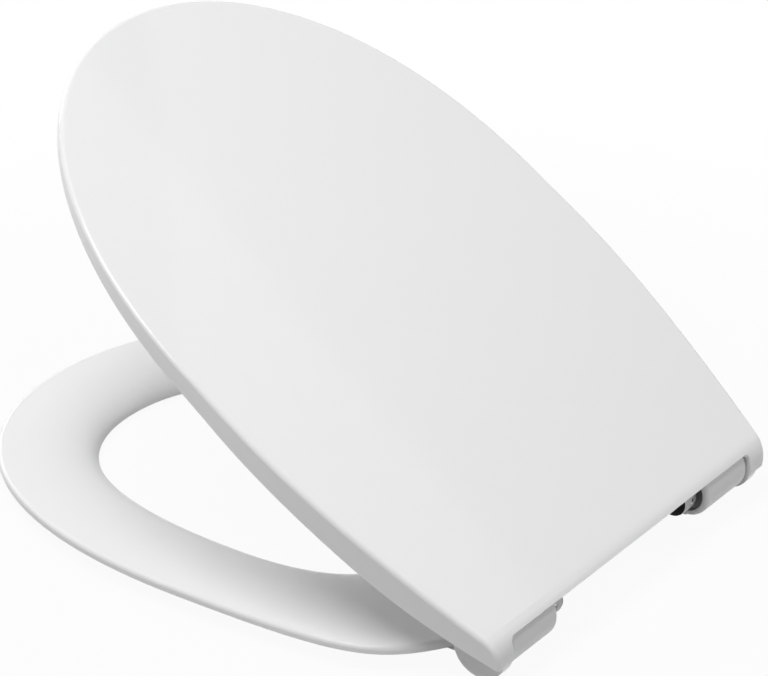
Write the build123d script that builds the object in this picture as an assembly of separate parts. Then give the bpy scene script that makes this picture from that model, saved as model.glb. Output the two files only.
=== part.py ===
from build123d import *
import os
from math import cos, radians, sin, tan

# Toilet seat: a ring and a lid on two soft-close hinges, lid shown half open.
# Millimetres. +Z is up and the front of the seat points to -Y.
# The pieces are drawn about the hinge axis, which runs along X, and are lifted at the
# end so that the origin lies midway between the mouths of the two pan post sockets.

# Lid, drawn closed. Lengths run forwards from the hinge axis.
lid_half_width = 180.0
lid_front = 447.0
lid_widest = 221.0
lid_rear_half = 147.4        # where the flanks end, clear behind the rolled ears
lid_flank_end = 22.0
lid_rear_edge = 6.4          # how far the straight rear edge lies behind the axis
lid_rear_lean = 14.5         # degrees that the flanks still close in at the rear
lid_pulls = (0.55, 0.62, 0.167, 0.666)
lid_crown = 18.7             # top face above the hinge axis, and radius of the rolled ears
lid_wedge = 2.5              # degrees between the top face and the skirt's lower edge
lid_skirt_z = -4.4           # the skirt's lower edge, level over most of the lid
skirt_rise_start = 84.0      # nearer the axis than this the lower edge curves up
skirt_rise_lean = 11.0       # degrees that it climbs where it meets the heel
skirt_rise_pull = 36.0
lid_heel_z = 6.5             # lower edge of the rolled rear end
lid_plate = 3.6
lid_wall = 5.0
lid_edge_r = 2.5
lid_lip_r = 1.0
lid_open = 36.2              # degrees open as shown
cavity_rear = 22.0           # the hollow starts this far in front of the axis
lid_front_rim = 24.0
notch_corner_r = 4.0

# Ring
ring_half_width = 177.0
ring_front = 440.0
ring_widest = 197.0
ring_rear_half = 111.0
ring_rear = 16.8
ring_rear_lean = 59.2
ring_pulls = (0.573, 0.658, 0.776, 0.368)
ring_top_z = -8.4
ring_edge = 5.1              # upright height of the outer edge
ring_bottom_z = -22.6
ring_under_inset = 20.0      # how far the underside draws in from the outer edge
ring_edge_r = 2.5

# Bowl opening, at the ring's underside
bowl_half_width = 107.0
bowl_front = 376.0
bowl_widest = 200.0
bowl_rear = 97.0
bowl_rear_lean = 90.0        # the opening closes level across its rear
bowl_pulls = (0.63, 0.68, 0.75, 0.75)
# Height above the underside and outward growth of the opening's rolled wall
bowl_roll = (
    (-1.5, 0.0), (6.48, 3.2), (10.77, 10.9), (12.75, 19.5),
    (13.7, 28.3), (14.12, 37.2), (14.24, 46.0),
)

# Hinges, one each side. Distances run outwards from the middle of the seat.
post_pitch = 155.0
post_r = 4.0
post_depth = 12.0
hub_r = 9.6
hub_reach = (8.5, 5.0)       # from a post's middle to the inner and outer end of its hub
hub_inner = post_pitch / 2 - hub_reach[0]
hub_outer = post_pitch / 2 + hub_reach[1]
hub_mouth = 8.0              # hinge axis above the flat where the post enters
hub_edge_r = 1.0
cap_r = 9.2
cap_height = 2.0
cap_dome = 1.5               # how much of that height is domed
cap_peg_r = 2.5
cap_peg_length = 3.0
grub_r = 2.5
grub_length = 4.6
grub_sink = 0.4
grub_socket_r = 1.4
shaft_r = 5.0
shaft_short = 0.5            # how far the shaft stops short of its bush's end
barrel_r = 16.3
barrel_bore_r = 12.6
barrel_start = 1.5           # gap between a hub and its barrel
barrel_inset = 16.9          # from the lid's rear half width in to a barrel's outer end
barrel_inner = hub_outer + barrel_start
barrel_outer = lid_rear_half - barrel_inset
barrel_end_wall = 3.0
barrel_nose_r = 3.0
barrel_rim_r = 1.0
plug_recess = 1.5
plug_length = 6.0
damper_gap = 0.4
damper_play = 0.05
bush_wall = 2.0
thrust_flange_r = 10.0
thrust_flange = 2.7
thrust_end = barrel_outer + thrust_flange
lid_side_gap = 0.3           # play between a thrust bush and the lid's ear
ear_boss_r = 18.0            # round boss in each ear of the lid, seen below its skirt
ear_boss_edge_r = 0.8
ear_boss_inset = 5.4         # from the lid's rear half width in to a boss's outer end
ear_boss_end = lid_rear_half - ear_boss_inset
lid_bush_length = 6.0
running_gap = 0.05           # radial play of the shaft in its bushes
barrel_gap = 0.4             # room between a barrel and the lid that swings over it

# Flange that carries the ring on each barrel
flange_insets = (9.0, 9.5)   # in from the inner and outer end of its barrel
flange_inner = barrel_inner + flange_insets[0]
flange_outer = barrel_outer - flange_insets[1]
flange_reach = 60.0
flange_back = 4.0
flange_top_z = -16.5
flange_thick = 5.0
flange_corner_r = 6.0
flange_gap = 0.3
web_drop = 2.0               # how far the web stays below the closed lid's skirt
screw_at = (32.0, 50.0)
screw_r = 1.75
screw_head_r = 3.6
screw_head = 2.2
screw_length = 11.0
screw_slot = (0.9, 1.1)
screw_play = 0.15

# Buffers
seat_buffer_r = 9.0
seat_buffer_height = 3.5
# Each pad's place: in from the widest half width, and back from the front or widest point
seat_buffer_front_inset = (105.0, 66.0)
seat_buffer_rear_inset = (48.0, 47.0)
lid_buffer_r = 7.0
lid_buffer_inset = (71.0, 84.0)
lid_buffer_gap = 0.5         # between the lid buffers and the ring when the lid is down
buffer_peg_r = 3.0
buffer_peg_length = 5.0
buffer_edge_r = 1.2
lid_buffer_peg = 2.0

REACH = 600.0                # longer than any piece, for cutting blocks
LEVEL = 0.5                  # a face whose normal rises more than this looks up
EAR = thrust_end + lid_side_gap
SHAFT_END = EAR + lid_bush_length - shaft_short
SEAT_BUFFER_SPOTS = {
    "front": (ring_half_width - seat_buffer_front_inset[0], ring_front - seat_buffer_front_inset[1]),
    "rear": (ring_half_width - seat_buffer_rear_inset[0], ring_widest - seat_buffer_rear_inset[1]),
}
LID_BUFFER_SPOT = (lid_half_width - lid_buffer_inset[0], lid_front - lid_buffer_inset[1])

MIDPLANE = Plane.YZ
TURN_TO_X = Rot(0, 90, 0)


def half_outline(half_width, front, widest, rear_half, rear, lean, pulls):
    """Right half of a plan outline as two curves: front to widest point to rear corner."""
    tip_pull, front_pull, back_pull, rear_pull = pulls
    ahead = front - widest
    behind = widest - rear
    side = rear_half + rear_pull * behind * sin(radians(lean))
    back = rear + rear_pull * behind * cos(radians(lean))
    nose = Bezier(
        (0, -front),
        (tip_pull * half_width, -front),
        (half_width, -widest - front_pull * ahead),
        (half_width, -widest),
    )
    flank = Bezier(
        (half_width, -widest),
        (half_width, -widest + back_pull * behind),
        (side, -back),
        (rear_half, -rear),
    )
    return [nose, flank]


def mirrored(edges):
    """The edges together with their mirror images across the middle of the seat."""
    return edges + [mirror(edge, about=MIDPLANE) for edge in edges]


def along_x(radius, start, end):
    """Cylinder about the hinge axis between two distances from the middle."""
    middle = (start + end) / 2
    return Pos(middle, 0, 0) * TURN_TO_X * Cylinder(radius, end - start)


def both_sides(piece):
    """A right-hand piece and its left-hand mirror image."""
    return {"right": piece, "left": mirror(piece, about=MIDPLANE)}


def lid_plan(inset, front_inset):
    """Lid seen from above, drawn in by insets, with its flanks running on behind the roll."""
    rear_half = lid_rear_half - inset
    edges = half_outline(
        lid_half_width - inset,
        lid_front - front_inset,
        lid_widest,
        rear_half,
        -lid_flank_end,
        lid_rear_lean,
        lid_pulls,
    )
    return make_face(mirrored(edges) + [Line((rear_half, lid_flank_end), (-rear_half, lid_flank_end))])


def lid_top(crown, y):
    """Height of a plane parallel to the lid's top face at a place along Y."""
    return crown / cos(radians(lid_wedge)) + y * tan(radians(lid_wedge))


def lid_profile():
    """Side view of the lid: sloping top, roll about the hinge axis, skirt edge that climbs to the heel."""
    slope = radians(lid_wedge)
    climb = radians(skirt_rise_lean)
    start = (-lid_crown * sin(slope), lid_crown * cos(slope))
    shoulder = (lid_crown * cos(radians(45)), lid_crown * sin(radians(45)))
    heel = ((lid_crown**2 - lid_heel_z**2) ** 0.5, lid_heel_z)
    foot = (-skirt_rise_start, lid_skirt_z)
    toe = ((lid_skirt_z - lid_top(lid_crown, 0)) / tan(slope), lid_skirt_z)
    rise = Bezier(
        heel,
        (heel[0] - skirt_rise_pull * cos(climb), heel[1] - skirt_rise_pull * sin(climb)),
        (foot[0] + skirt_rise_pull, foot[1]),
        foot,
    )
    top = Line(toe, start)
    roll = ThreePointArc(start, shoulder, heel)
    return MIDPLANE * make_face([top, roll, rise, Line(foot, toe)])


def lid_cavity():
    """Hollow under the lid, parallel to its top face and open below."""
    under = lid_crown - lid_plate
    corners = [
        (-cavity_rear, lid_top(under, -cavity_rear)),
        (-cavity_rear, -REACH),
        (-REACH, -REACH),
        (-REACH, lid_top(under, -REACH)),
    ]
    side_view = MIDPLANE * make_face(Polyline(*corners, close=True))
    walls = Pos(0, 0, -REACH / 2) * extrude(lid_plan(lid_wall, lid_front_rim), amount=REACH)
    return walls & extrude(side_view, amount=REACH, both=True)


def swung(piece):
    """Turn a piece of the lid from closed to the opening shown."""
    return Rot(-lid_open, 0, 0) * piece


def lid():
    """Lid moulding, closed: wedge block with soft edges, hollow, notch and ears with round bosses."""
    prism = Pos(0, 0, -REACH / 2) * extrude(lid_plan(0, 0), amount=REACH)
    block = prism & Pos(-REACH, 0, 0) * extrude(lid_profile(), amount=2 * REACH)
    block = fillet(curved_rim(block, 1), lid_edge_r)
    block = fillet(curved_rim(block, -1), lid_lip_r)
    block -= lid_cavity()
    notch_depth = 2 * lid_crown
    notch = extrude(RectangleRounded(2 * EAR, notch_depth, notch_corner_r), amount=REACH)
    block -= Pos(0, lid_rear_edge + notch_depth / 2, -REACH / 2) * notch
    block -= along_x(barrel_r + barrel_gap, -EAR, EAR)
    block += list(both_sides(ear_boss()).values())
    seat = along_x(shaft_r + running_gap + bush_wall, EAR, EAR + lid_bush_length)
    return block - list(both_sides(seat).values())


def curved_rim(block, way):
    """Curved edges round the faces of a block that look up, way 1, or down, way -1."""
    faces = [face for face in block.faces() if way * face.normal_at().Z > LEVEL]
    edges = {edge for face in faces for edge in face.edges() if edge.geom_type != GeomType.LINE}
    return list(edges)


def ear_boss():
    """Round boss in an ear of the lid, about the hinge axis."""
    body = along_x(ear_boss_r, EAR, ear_boss_end)
    return fillet(body.edges().filter_by(GeomType.CIRCLE).group_by(Axis.X)[-1], ear_boss_edge_r)


def lid_bush():
    """Plain bush in an ear's boss, running on the shaft."""
    sleeve = along_x(shaft_r + running_gap + bush_wall, EAR, EAR + lid_bush_length)
    return sleeve - along_x(shaft_r + running_gap, EAR, EAR + lid_bush_length)


def buffer_pad(radius, height, peg_length):
    """Round pad with a soft lower edge, hanging down from its seat at the origin, and a peg."""
    pad = Pos(0, 0, -height / 2) * Cylinder(radius, height)
    pad = fillet(pad.edges().group_by(Axis.Z)[0], buffer_edge_r)
    return pad + Pos(0, 0, peg_length / 2) * Cylinder(buffer_peg_r, peg_length)


def lid_buffer_place():
    """Where a lid buffer sits: square to the underside of the lid."""
    x, ahead = LID_BUFFER_SPOT
    return Pos(x, -ahead, lid_top(lid_crown - lid_plate, -ahead)) * Rot(lid_wedge, 0, 0)


def lid_buffer():
    """Pad that keeps the closed lid off the ring."""
    seat_z = lid_top(lid_crown - lid_plate, -LID_BUFFER_SPOT[1])
    height = seat_z - ring_top_z - lid_buffer_gap
    return lid_buffer_place() * buffer_pad(lid_buffer_r, height, lid_buffer_peg)


def lid_buffer_socket():
    """Hole in the lid for a buffer's peg."""
    return lid_buffer_place() * Pos(0, 0, lid_buffer_peg / 2) * Cylinder(buffer_peg_r, lid_buffer_peg)


def ring_plan(inset):
    """Ring seen from above without its opening, drawn in by an inset."""
    edges = half_outline(
        ring_half_width - inset,
        ring_front - inset,
        ring_widest,
        ring_rear_half - inset,
        ring_rear + inset,
        ring_rear_lean,
        ring_pulls,
    )
    rear_half = ring_rear_half - inset
    rear_y = -ring_rear - inset
    return make_face(mirrored(edges) + [Line((rear_half, rear_y), (-rear_half, rear_y))])


def bowl_plan(growth):
    """Bowl opening seen from above, grown outwards."""
    edges = half_outline(
        bowl_half_width + growth,
        bowl_front + growth,
        bowl_widest,
        0,
        bowl_rear - growth,
        bowl_rear_lean,
        bowl_pulls,
    )
    return make_face(mirrored(edges))


def seat_buffer_place(spot):
    """Where a seat buffer sits on the ring's underside."""
    x, ahead = spot
    return Pos(x, -ahead, ring_bottom_z)


def seat_ring():
    """Ring moulding: upright edge, underside drawn in, rolled opening, hinge pockets."""
    edge_z = ring_top_z - ring_edge
    rim = Pos(0, 0, edge_z) * extrude(ring_plan(0), amount=ring_edge)
    rim = fillet(rim.edges().group_by(Axis.Z)[-1].filter_by(GeomType.LINE, reverse=True), ring_edge_r)
    belly = loft([Pos(0, 0, edge_z) * ring_plan(0), Pos(0, 0, ring_bottom_z) * ring_plan(ring_under_inset)])
    ring = rim + belly
    ring -= loft([Pos(0, 0, ring_bottom_z + rise) * bowl_plan(growth) for rise, growth in bowl_roll])
    for side in (1, -1):
        ring -= Pos(side * (flange_inner + flange_outer) / 2, 0, 0) * flange_pocket()
        for ahead in screw_at:
            x = side * (flange_inner + flange_outer) / 2
            top = flange_top_z - flange_thick + screw_length
            ring -= Pos(x, -ahead, top - REACH / 2) * Cylinder(screw_r, REACH)
        for x, ahead in SEAT_BUFFER_SPOTS.values():
            peg = Cylinder(buffer_peg_r, buffer_peg_length)
            ring -= seat_buffer_place((side * x, ahead)) * Pos(0, 0, buffer_peg_length / 2) * peg
    return ring


def flange_pocket():
    """Recess in the ring's underside that takes a barrel's flange."""
    width = flange_outer - flange_inner + 2 * flange_gap
    depth = flange_reach + flange_gap
    corner = flange_corner_r + flange_gap
    outline = fillet(Rectangle(width, 2 * depth).vertices(), corner)
    return Pos(0, 0, flange_top_z - REACH) * extrude(outline, amount=REACH)


def hinge_barrel():
    """Right barrel: bored housing with a flange that reaches under the ring."""
    barrel = along_x(barrel_r, barrel_inner, barrel_outer)
    barrel = fillet(barrel.edges().filter_by(GeomType.CIRCLE).group_by(Axis.X)[0], barrel_nose_r)
    barrel = fillet(barrel.edges().filter_by(GeomType.CIRCLE).group_by(Axis.X)[-1], barrel_rim_r)
    middle = (flange_inner + flange_outer) / 2
    width = flange_outer - flange_inner
    tongue = Rectangle(width, flange_reach - flange_back)
    front = tongue.vertices().group_by(Axis.Y)[0]
    tongue = extrude(fillet(front, flange_corner_r), amount=flange_thick)
    foot_z = flange_top_z - flange_thick
    barrel += Pos(middle, -(flange_reach + flange_back) / 2, foot_z) * tongue
    web_depth = ring_rear - flange_back - flange_gap
    web_height = lid_skirt_z - web_drop - foot_z
    web = Box(width, web_depth, web_height, align=(Align.CENTER, Align.MAX, Align.MIN))
    barrel += Pos(middle, -flange_back, foot_z) * web
    barrel -= along_x(barrel_bore_r, barrel_inner, barrel_outer - barrel_end_wall)
    barrel -= along_x(shaft_r + running_gap + bush_wall, barrel_inner, barrel_outer)
    for ahead in screw_at:
        hole = Pos(middle, -ahead, foot_z)
        barrel -= hole * Pos(0, 0, screw_head / 2) * Cylinder(screw_head_r + screw_play, screw_head)
        barrel -= hole * Cylinder(screw_r + screw_play, 4 * flange_thick)
    return barrel


def flange_screws():
    """The two screws that hold a barrel's flange to the ring."""
    foot_z = flange_top_z - flange_thick
    middle = (flange_inner + flange_outer) / 2
    head = Pos(0, 0, screw_head / 2) * Cylinder(screw_head_r, screw_head)
    slot_width, slot_depth = screw_slot
    slot = Pos(0, 0, slot_depth / 2) * Box(2 * screw_head_r, slot_width, slot_depth)
    shank_length = screw_length - screw_head
    shank = Pos(0, 0, screw_head + shank_length / 2) * Cylinder(screw_r, shank_length)
    screw = head - slot + shank
    return Compound(children=[Pos(middle, -ahead, foot_z) * screw for ahead in screw_at])


def barrel_plug():
    """Bearing plug that closes a barrel's inner end around the shaft."""
    start = barrel_inner + plug_recess
    plug = along_x(barrel_bore_r, start, start + plug_length)
    return plug - along_x(shaft_r + running_gap, start, start + plug_length)


def damper():
    """Soft-close cartridge inside a barrel, around the shaft."""
    start = barrel_inner + plug_recess + plug_length
    end = barrel_outer - barrel_end_wall
    waist = (start + end) / 2
    body = along_x(barrel_bore_r - damper_gap, start, waist)
    body += along_x(barrel_bore_r - damper_play, waist, end)
    return body - along_x(shaft_r + running_gap, start, end)


def thrust_bush():
    """Flanged bush in a barrel's outer wall, between the barrel and the lid's ear."""
    sleeve = along_x(shaft_r + running_gap + bush_wall, barrel_outer - barrel_end_wall, thrust_end)
    flange = along_x(thrust_flange_r, barrel_outer, thrust_end)
    return sleeve + flange - along_x(shaft_r + running_gap, barrel_inner, SHAFT_END)


def post_hub():
    """Hub that stands on a pan post, in one piece with the shaft of its hinge."""
    hub = along_x(hub_r, hub_inner, hub_outer)
    hub = fillet(hub.edges().filter_by(GeomType.CIRCLE), hub_edge_r)
    hub += along_x(shaft_r, hub_outer, SHAFT_END)
    x = post_pitch / 2
    hub -= Pos(x, 0, -hub_mouth - REACH / 2) * Box(2 * (hub_outer - hub_inner), REACH, REACH)
    hub -= Pos(x, 0, -hub_mouth + post_depth / 2) * Cylinder(post_r, post_depth)
    hub -= Pos(x, hub_r / 2, 0) * Rot(90, 0, 0) * Cylinder(grub_r, hub_r)
    return hub - along_x(cap_peg_r, hub_inner, hub_inner + cap_peg_length)


def hub_screw():
    """Grub screw that clamps the post, flush in the back of a hub."""
    tip = hub_r - grub_length - grub_sink
    body = Cylinder(grub_r, grub_length, align=(Align.CENTER, Align.CENTER, Align.MIN))
    socket = Pos(0, 0, grub_length / 2) * extrude(RegularPolygon(grub_socket_r, 6), amount=grub_length)
    return Pos(post_pitch / 2, tip, 0) * Rot(-90, 0, 0) * (body - socket)


def hub_cap():
    """Domed end cap with a peg in the hub."""
    dome_r = (cap_r**2 + cap_dome**2) / (2 * cap_dome)
    dome = Pos(hub_inner - cap_height + dome_r, 0, 0) * Sphere(dome_r)
    cap = dome & along_x(cap_r, hub_inner - cap_height, hub_inner)
    return cap + along_x(cap_peg_r, hub_inner, hub_inner + cap_peg_length)


def build():
    """All pieces by name, about the hinge axis."""
    pads = both_sides(lid_buffer())
    sockets = both_sides(lid_buffer_socket())
    pieces = {"seat_ring": seat_ring(), "lid": swung(lid() - list(sockets.values()))}
    for side, pad in pads.items():
        pieces[f"lid_buffer_{side}"] = swung(pad)
    for side, piece in both_sides(lid_bush()).items():
        pieces[f"lid_bush_{side}"] = swung(piece)
    makers = (hinge_barrel, flange_screws, barrel_plug, damper, thrust_bush, post_hub, hub_screw, hub_cap)
    for maker in makers:
        for side, piece in both_sides(maker()).items():
            pieces[f"{maker.__name__}_{side}"] = piece
    for end, spot in SEAT_BUFFER_SPOTS.items():
        pad = seat_buffer_place(spot) * buffer_pad(seat_buffer_r, seat_buffer_height, buffer_peg_length)
        for side, piece in both_sides(pad).items():
            pieces[f"seat_buffer_{end}_{side}"] = piece
    return pieces


os.makedirs("parts", exist_ok=True)
for name, piece in build().items():
    export_step(Pos(0, 0, hub_mouth) * piece, f"parts/{name}.step")
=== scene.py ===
"""Dresses a toilet seat: white mouldings, hinge fittings, a pale studio and the camera."""

import logging
import math
from dataclasses import dataclass, replace
from enum import Enum

import bpy
from mathutils import Matrix, Quaternion, Vector


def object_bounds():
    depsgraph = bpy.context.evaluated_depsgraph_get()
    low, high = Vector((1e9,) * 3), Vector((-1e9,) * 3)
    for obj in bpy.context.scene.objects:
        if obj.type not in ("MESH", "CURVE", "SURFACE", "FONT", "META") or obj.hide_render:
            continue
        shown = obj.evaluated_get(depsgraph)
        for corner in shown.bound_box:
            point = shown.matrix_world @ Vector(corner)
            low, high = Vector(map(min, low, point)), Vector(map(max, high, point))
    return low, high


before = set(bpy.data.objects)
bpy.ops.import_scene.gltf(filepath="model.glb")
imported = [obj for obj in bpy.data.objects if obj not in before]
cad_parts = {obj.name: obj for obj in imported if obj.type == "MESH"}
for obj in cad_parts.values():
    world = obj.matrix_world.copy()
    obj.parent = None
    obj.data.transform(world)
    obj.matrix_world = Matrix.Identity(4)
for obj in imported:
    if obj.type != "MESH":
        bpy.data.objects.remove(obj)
CAD_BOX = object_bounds()

LOG = logging.getLogger("toilet_seat")
SIDES = ("left", "right")

# The point that most lamps face, and the width and height of their panels in metres.
SEAT_MIDDLE = Vector((0.0, -0.2, 0.1))
SIDE_PANEL = (1.0, 1.0)
OVERHEAD_PANEL = (1.2, 1.2)
# The narrow panel that the lid mirrors: its size, the point it faces and its turn in degrees.
BAND_PANEL = (1.2, 0.25)
BAND_ON_LID = Vector((0.165, -0.116, 0.228))
BAND_SLANT = 31.22

Colour = tuple[float, float, float, float]


def grey(value: float) -> Colour:
    """A neutral colour of the given linear value."""
    return (value, value, value, 1.0)


class Skin(Enum):
    """Which shared surface effect a finish wears."""

    MOULDED = "moulded_skin"
    TURNED = "turned_metal"


@dataclass(frozen=True)
class Finish:
    """One surface finish: what varies goes through a shared group, the rest sits on the shader.

    Attributes:
        name: Material name.
        skin: Shared effect that varies colour, roughness and normal.
        colour: Mid colour, linear.
        gloss: Mid roughness.
        gloss_spread: How far the roughness strays from its middle.
        mottle: Relative stray of the colour.
        mottle_scale: Patches per metre.
        grain_scale: Grains, or turning lines, per metre.
        grain_depth: Height of the grain in metres.
        metal: Metallic value of the shader.
        shine: Specular level of the shader.
        coat: Coat weight of the shader.
        coat_roughness: Roughness of that coat.
    """

    name: str
    skin: Skin
    colour: Colour
    gloss: float
    gloss_spread: float
    mottle: float
    mottle_scale: float
    grain_scale: float
    grain_depth: float
    metal: float = 0.0
    shine: float = 0.5
    coat: float = 0.0
    coat_roughness: float = 0.1

    def material(self) -> bpy.types.Material:
        """Build the material, with the shared group feeding one Principled shader.

        Returns:
            The new material.
        """
        made = bpy.data.materials.new(self.name)
        made.use_nodes = True
        nodes, links = made.node_tree.nodes, made.node_tree.links
        shader = nodes["Principled BSDF"]
        shader.inputs["Metallic"].default_value = self.metal
        shader.inputs["Specular IOR Level"].default_value = self.shine
        shader.inputs["Coat Weight"].default_value = self.coat
        shader.inputs["Coat Roughness"].default_value = self.coat_roughness
        skin = nodes.new("ShaderNodeGroup")
        skin.node_tree = bpy.data.node_groups[self.skin.value]
        skin.inputs["Colour"].default_value = self.colour
        for socket, value in (
            ("Mottle", self.mottle),
            ("Mottle Scale", self.mottle_scale),
            ("Gloss", self.gloss),
            ("Gloss Spread", self.gloss_spread),
            ("Grain Scale", self.grain_scale),
            ("Grain Depth", self.grain_depth),
        ):
            skin.inputs[socket].default_value = value
        links.new(skin.outputs["Colour"], shader.inputs["Base Color"])
        links.new(skin.outputs["Roughness"], shader.inputs["Roughness"])
        links.new(skin.outputs["Normal"], shader.inputs["Normal"])
        return made


@dataclass
class SkinGroups:
    """The shared shader groups, built once before any finish is made.

    Attributes:
        lathe_stretch: Scale across the hinge axis, which draws grain out into turning lines.
        grain_detail: Octaves of the grain.
        mottle_detail: Octaves of the mottle.
        noise_middle: Middle of the noise, taken off so that it strays both ways.
    """

    lathe_stretch: float = 0.02
    grain_detail: float = 2.0
    mottle_detail: float = 3.0
    noise_middle: float = 0.5

    def build(self) -> None:
        """Make the moulded and the turned group."""
        self._group(Skin.MOULDED, (1.0, 1.0, 1.0))
        self._group(Skin.TURNED, (1.0, self.lathe_stretch, self.lathe_stretch))

    def _group(self, skin: Skin, stretch: tuple[float, float, float]) -> None:
        """Make one group: noise over Object coordinates gives colour, roughness and normal.

        Args:
            skin: Which group to make.
            stretch: Scale of the grain's coordinates along X, Y and Z.
        """
        tree = bpy.data.node_groups.new(skin.value, "ShaderNodeTree")
        values = ("Mottle", "Mottle Scale", "Gloss", "Gloss Spread", "Grain Scale", "Grain Depth")
        for name in values:
            tree.interface.new_socket(name, in_out="INPUT", socket_type="NodeSocketFloat")
        tree.interface.new_socket("Colour", in_out="INPUT", socket_type="NodeSocketColor")
        tree.interface.new_socket("Colour", in_out="OUTPUT", socket_type="NodeSocketColor")
        tree.interface.new_socket("Roughness", in_out="OUTPUT", socket_type="NodeSocketFloat")
        tree.interface.new_socket("Normal", in_out="OUTPUT", socket_type="NodeSocketVector")
        nodes, links = tree.nodes, tree.links
        given = nodes.new("NodeGroupInput")
        result = nodes.new("NodeGroupOutput")
        place = nodes.new("ShaderNodeTexCoord")

        mottle = nodes.new("ShaderNodeTexNoise")
        mottle.inputs["Detail"].default_value = self.mottle_detail
        links.new(place.outputs["Object"], mottle.inputs["Vector"])
        links.new(given.outputs["Mottle Scale"], mottle.inputs["Scale"])
        stray = nodes.new("ShaderNodeMath")
        stray.operation = "SUBTRACT"
        stray.inputs[1].default_value = self.noise_middle
        links.new(mottle.outputs["Fac"], stray.inputs[0])

        factor = nodes.new("ShaderNodeMath")
        factor.operation = "MULTIPLY_ADD"
        factor.inputs[2].default_value = 1.0
        links.new(stray.outputs["Value"], factor.inputs[0])
        links.new(given.outputs["Mottle"], factor.inputs[1])
        tint = nodes.new("ShaderNodeVectorMath")
        tint.operation = "SCALE"
        links.new(given.outputs["Colour"], tint.inputs["Vector"])
        links.new(factor.outputs["Value"], tint.inputs["Scale"])
        links.new(tint.outputs["Vector"], result.inputs["Colour"])

        gloss = nodes.new("ShaderNodeMath")
        gloss.operation = "MULTIPLY_ADD"
        links.new(stray.outputs["Value"], gloss.inputs[0])
        links.new(given.outputs["Gloss Spread"], gloss.inputs[1])
        links.new(given.outputs["Gloss"], gloss.inputs[2])
        links.new(gloss.outputs["Value"], result.inputs["Roughness"])

        along = nodes.new("ShaderNodeMapping")
        along.inputs["Scale"].default_value = stretch
        links.new(place.outputs["Object"], along.inputs["Vector"])
        grain = nodes.new("ShaderNodeTexNoise")
        grain.inputs["Detail"].default_value = self.grain_detail
        links.new(along.outputs["Vector"], grain.inputs["Vector"])
        links.new(given.outputs["Grain Scale"], grain.inputs["Scale"])
        bump = nodes.new("ShaderNodeBump")
        links.new(grain.outputs["Fac"], bump.inputs["Height"])
        links.new(given.outputs["Grain Depth"], bump.inputs["Distance"])
        links.new(bump.outputs["Normal"], result.inputs["Normal"])


def dress(node: str, finish: bpy.types.Material) -> None:
    """Give a CAD node's object one material.

    Args:
        node: Name of the node.
        finish: Material to wear.
    """
    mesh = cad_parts[node].data
    mesh.materials.clear()
    mesh.materials.append(finish)
    LOG.info("dressed %s in %s", node, finish.name)


@dataclass
class Mouldings:
    """The two large white pieces, the lid with the clearer gloss."""

    lid_white: Finish = Finish(
        name="white_lid",
        skin=Skin.MOULDED,
        colour=grey(0.84),
        gloss=0.32,
        gloss_spread=0.06,
        mottle=0.02,
        mottle_scale=9.0,
        grain_scale=900.0,
        grain_depth=0.000004,
        shine=0.15,
        coat=0.5,
        coat_roughness=0.05,
    )
    ring_white: Finish = replace(lid_white, name="white_ring", coat=0.15)

    def build(self) -> None:
        """Dress the lid and the ring."""
        dress("lid", self.lid_white.material())
        dress("seat_ring", self.ring_white.material())


@dataclass
class HingeFittings:
    """Barrels, hubs, bearings, screws and pads; the bearings' dark grey is partly painted shade.
    """

    barrel: Finish = Finish(
        name="barrel_moulding",
        skin=Skin.MOULDED,
        colour=grey(0.78),
        gloss=0.42,
        gloss_spread=0.08,
        mottle=0.04,
        mottle_scale=60.0,
        grain_scale=2400.0,
        grain_depth=0.00001,
    )
    hub: Finish = Finish(
        name="hub_metal",
        skin=Skin.TURNED,
        colour=grey(0.33),
        gloss=0.4,
        gloss_spread=0.12,
        mottle=0.06,
        mottle_scale=120.0,
        grain_scale=6000.0,
        grain_depth=0.00001,
        metal=1.0,
    )
    cap: Finish = Finish(
        name="black_cap",
        skin=Skin.MOULDED,
        colour=grey(0.008),
        gloss=0.5,
        gloss_spread=0.1,
        mottle=0.1,
        mottle_scale=90.0,
        grain_scale=2600.0,
        grain_depth=0.00001,
        shine=0.08,
    )
    screw: Finish = Finish(
        name="screw_steel",
        skin=Skin.TURNED,
        colour=grey(0.62),
        gloss=0.28,
        gloss_spread=0.1,
        mottle=0.05,
        mottle_scale=150.0,
        grain_scale=8000.0,
        grain_depth=0.000006,
        metal=1.0,
    )
    # Dark grey of the bushes, plugs and damper: partly their own colour, partly painted shade for
    # the recess in each barrel end and the slit between barrel and lid ear.
    bushes_and_shade: Finish = Finish(
        name="bush_grey_and_painted_shade",
        skin=Skin.MOULDED,
        colour=grey(0.13),
        gloss=0.5,
        gloss_spread=0.1,
        mottle=0.08,
        mottle_scale=90.0,
        grain_scale=2600.0,
        grain_depth=0.00001,
    )
    pad: Finish = Finish(
        name="pad_rubber",
        skin=Skin.MOULDED,
        colour=grey(0.72),
        gloss=0.62,
        gloss_spread=0.1,
        mottle=0.05,
        mottle_scale=70.0,
        grain_scale=1800.0,
        grain_depth=0.00002,
    )

    def build(self) -> None:
        """Dress every fitting on both sides."""
        worn = {
            self.barrel: ("hinge_barrel",),
            self.hub: ("post_hub",),
            self.cap: ("hub_cap",),
            self.screw: ("hub_screw", "flange_screws"),
            # The plugs and thrust bushes wear this dark grey partly as painted shade in the
            # barrel ends and in the slits by the ears.
            self.bushes_and_shade: ("barrel_plug", "damper", "thrust_bush", "lid_bush"),
            self.pad: ("lid_buffer", "seat_buffer_front", "seat_buffer_rear"),
        }
        for finish, nodes in worn.items():
            made = finish.material()
            for node in nodes:
                for side in SIDES:
                    dress(f"{node}_{side}", made)


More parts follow.
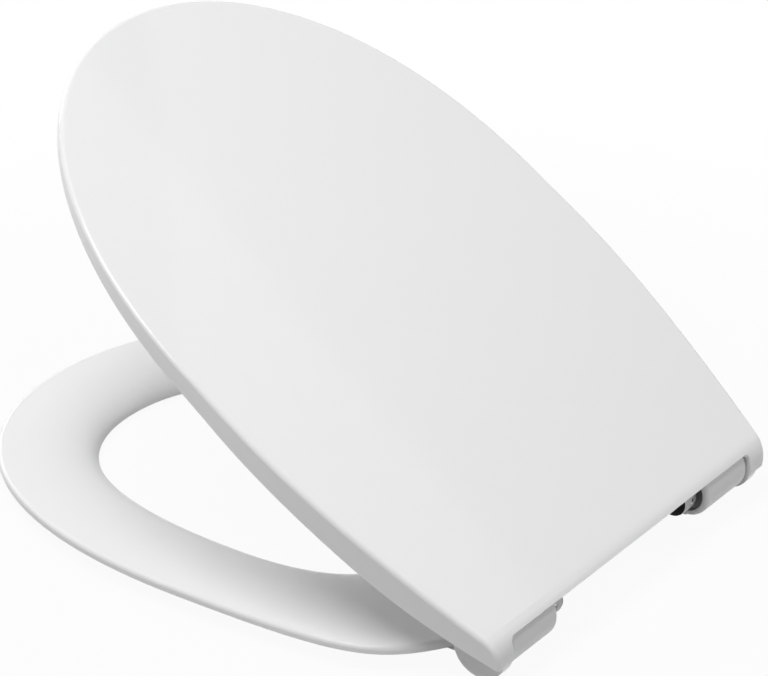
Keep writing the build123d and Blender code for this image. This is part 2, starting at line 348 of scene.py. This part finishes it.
@dataclass(frozen=True)
class Lamp:
    """One rectangular soft lamp.

    Attributes:
        name: Name of the lamp.
        power: Watts.
        place: Where it hangs.
        size: Width and height in metres.
        aim: Point that it faces.
        roll: Turn about the line to its aim, in degrees.
    """

    name: str
    power: float
    place: Vector
    size: tuple[float, float] = SIDE_PANEL
    aim: Vector = SEAT_MIDDLE
    roll: float = 0.0

    def build(self) -> None:
        """Hang the lamp and turn it to its aim."""
        data = bpy.data.lights.new(self.name, "AREA")
        data.shape = "RECTANGLE"
        data.energy = self.power
        data.size, data.size_y = self.size
        lamp = bpy.data.objects.new(self.name, data)
        lamp.location = self.place
        facing = (self.aim - self.place).to_track_quat("-Z", "Y")
        rolled = facing @ Quaternion((0.0, 0.0, 1.0), math.radians(self.roll))
        lamp.rotation_euler = rolled.to_euler()
        bpy.context.scene.collection.objects.link(lamp)


def seen_mask(tree: bpy.types.NodeTree) -> bpy.types.NodeSocket:
    """One where a camera, glossy or transmission ray looks, else zero.

    Args:
        tree: Node tree to build in.

    Returns:
        Socket with that mask.
    """
    path = tree.nodes.new("ShaderNodeLightPath")
    seen = path.outputs["Is Camera Ray"]
    for other in ("Is Glossy Ray", "Is Transmission Ray"):
        either = tree.nodes.new("ShaderNodeMath")
        either.operation = "MAXIMUM"
        tree.links.new(seen, either.inputs[0])
        tree.links.new(path.outputs[other], either.inputs[1])
        seen = either.outputs["Value"]
    return seen


@dataclass
class Studio:
    """White background, pale floor that keeps the shadow, and soft lamps.

    Attributes:
        lamps: Overhead and side panels, and one whose mirrored edge draws a band on the lid.
        floor_size: Side of the square floor in metres.
        floor_drop: Gap between the lowest pads and the floor, in metres.
        floor_colour: Colour of the floor where light falls on it.
        floor_white: Share of plain white in what is seen of the floor near the object.
        shadow_near: Distance from the object's middle at which that share starts to rise.
        shadow_far: Distance at which the floor is wholly white.
    """

    lamps: tuple[Lamp, ...] = (
        Lamp("top", 7.1, Vector((0.0, -0.2, 2.5)), OVERHEAD_PANEL),
        Lamp("top_near", 43.6, Vector((0.957, -0.2, 2.301)), OVERHEAD_PANEL),
        Lamp("front_high", 2.7, Vector((-0.396, -1.586, 1.486))),
        Lamp("far_side", 2.4, Vector((-1.533, 0.375, 1.249))),
        Lamp("front", 3.4, Vector((0.698, -1.896, 0.898))),
        Lamp("front_low", 8.6, Vector((-0.595, -2.044, 0.596))),
        Lamp("rear_low", 4.5, Vector((0.603, 1.609, 0.703))),
        Lamp("rear_far", 3.9, Vector((-0.907, 1.11, 1.309))),
        Lamp("lid_band", 0.8, Vector((-1.403, 0.33, 1.705)), BAND_PANEL, BAND_ON_LID, BAND_SLANT),
    )
    floor_size: float = 12.0
    floor_drop: float = 0.0002
    floor_colour: Colour = grey(0.6)
    floor_white: float = 0.94
    shadow_near: float = 0.3
    shadow_far: float = 0.75

    def build(self) -> None:
        """Make the world, the floor and the lamps."""
        self._world()
        self._floor()
        for lamp in self.lamps:
            lamp.build()

    def _world(self) -> None:
        """White where it is seen or mirrored, dark for every other ray."""
        world = bpy.data.worlds.new("studio")
        world.use_nodes = True
        tree = world.node_tree
        tree.nodes.clear()
        white = tree.nodes.new("ShaderNodeBackground")
        white.inputs["Color"].default_value = grey(1.0)
        out = tree.nodes.new("ShaderNodeOutputWorld")
        tree.links.new(seen_mask(tree), white.inputs["Strength"])
        tree.links.new(white.outputs["Background"], out.inputs["Surface"])
        bpy.context.scene.world = world

    def _floor(self) -> None:
        """Pale floor under the pads, fading to white away from the object."""
        level = CAD_BOX[0].z - self.floor_drop
        half = self.floor_size / 2
        square = ((-half, -half), (half, -half), (half, half), (-half, half))
        corners = [(x, y, level) for x, y in square]
        mesh = bpy.data.meshes.new("floor")
        mesh.from_pydata(corners, [], [(0, 1, 2, 3)])
        floor = bpy.data.objects.new("floor", mesh)
        bpy.context.scene.collection.objects.link(floor)
        mesh.materials.append(self._floor_material())

    def _floor_material(self) -> bpy.types.Material:
        """Diffuse floor that is partly white where it is seen, wholly so further out.

        Returns:
            The floor's material.
        """
        made = bpy.data.materials.new("pale_floor")
        made.use_nodes = True
        tree = made.node_tree
        tree.nodes.clear()
        place = tree.nodes.new("ShaderNodeTexCoord")
        reach = tree.nodes.new("ShaderNodeVectorMath")
        reach.operation = "LENGTH"
        centre = tree.nodes.new("ShaderNodeMapping")
        middle = (CAD_BOX[0] + CAD_BOX[1]) / 2
        centre.inputs["Location"].default_value = -middle
        tree.links.new(place.outputs["Object"], centre.inputs["Vector"])
        tree.links.new(centre.outputs["Vector"], reach.inputs[0])
        share = tree.nodes.new("ShaderNodeMapRange")
        share.interpolation_type = "SMOOTHSTEP"
        share.inputs["From Min"].default_value = self.shadow_near
        share.inputs["From Max"].default_value = self.shadow_far
        share.inputs["To Min"].default_value = self.floor_white
        tree.links.new(reach.outputs["Value"], share.inputs["Value"])
        shown = tree.nodes.new("ShaderNodeMath")
        shown.operation = "MULTIPLY"
        tree.links.new(seen_mask(tree), shown.inputs[0])
        tree.links.new(share.outputs["Result"], shown.inputs[1])
        matt = tree.nodes.new("ShaderNodeBsdfDiffuse")
        matt.inputs["Color"].default_value = self.floor_colour
        white = tree.nodes.new("ShaderNodeEmission")
        either = tree.nodes.new("ShaderNodeMixShader")
        out = tree.nodes.new("ShaderNodeOutputMaterial")
        tree.links.new(shown.outputs["Value"], either.inputs["Fac"])
        tree.links.new(matt.outputs["BSDF"], either.inputs[1])
        tree.links.new(white.outputs["Emission"], either.inputs[2])
        tree.links.new(either.outputs["Shader"], out.inputs["Surface"])
        return made


@dataclass
class PhotoCamera:
    """The camera at the photograph's viewing angle.

    Attributes:
        place: Where the camera stands.
        azimuth: Angle that it looks from, counted from the front, in degrees.
        elevation: Angle that it looks down by, in degrees.
        roll: Turn about its line of sight, in degrees.
        lens: Focal length in millimetres.
        sensor: Sensor width in millimetres.
        clip: Nearest and furthest distance drawn, in metres.
    """

    place: Vector = Vector((1.46157, 0.90076, 1.00828))
    azimuth: float = 126.194
    elevation: float = 26.603
    roll: float = -0.609
    lens: float = 154.05
    sensor: float = 36.0
    clip: tuple[float, float] = (0.05, 50.0)

    def build(self) -> None:
        """Make the camera and set it as the scene's own."""
        turn, rise, roll = (math.radians(a) for a in (self.azimuth, self.elevation, self.roll))
        level = math.cos(rise)
        back = Vector((math.sin(turn) * level, -math.cos(turn) * level, math.sin(rise)))
        right = (-back).cross(Vector((0, 0, 1))).normalized()
        above = back.cross(right)
        tilted = right * math.cos(roll) + above * math.sin(roll)
        upright = above * math.cos(roll) - right * math.sin(roll)
        data = bpy.data.cameras.new("photo_camera")
        data.lens = self.lens
        data.sensor_width = self.sensor
        data.clip_start, data.clip_end = self.clip
        camera = bpy.data.objects.new("photo_camera", data)
        facing = Matrix((tilted, upright, back)).transposed().to_4x4()
        camera.matrix_world = Matrix.Translation(self.place) @ facing
        bpy.context.scene.collection.objects.link(camera)
        bpy.context.scene.camera = camera


def main() -> None:
    """Build the finishes, the studio and the camera in order."""
    logging.basicConfig(level=logging.INFO)
    bpy.context.scene.view_settings.view_transform = "Standard"
    SkinGroups().build()
    Mouldings().build()
    HingeFittings().build()
    Studio().build()
    PhotoCamera().build()


if __name__ == "__main__":
    main()
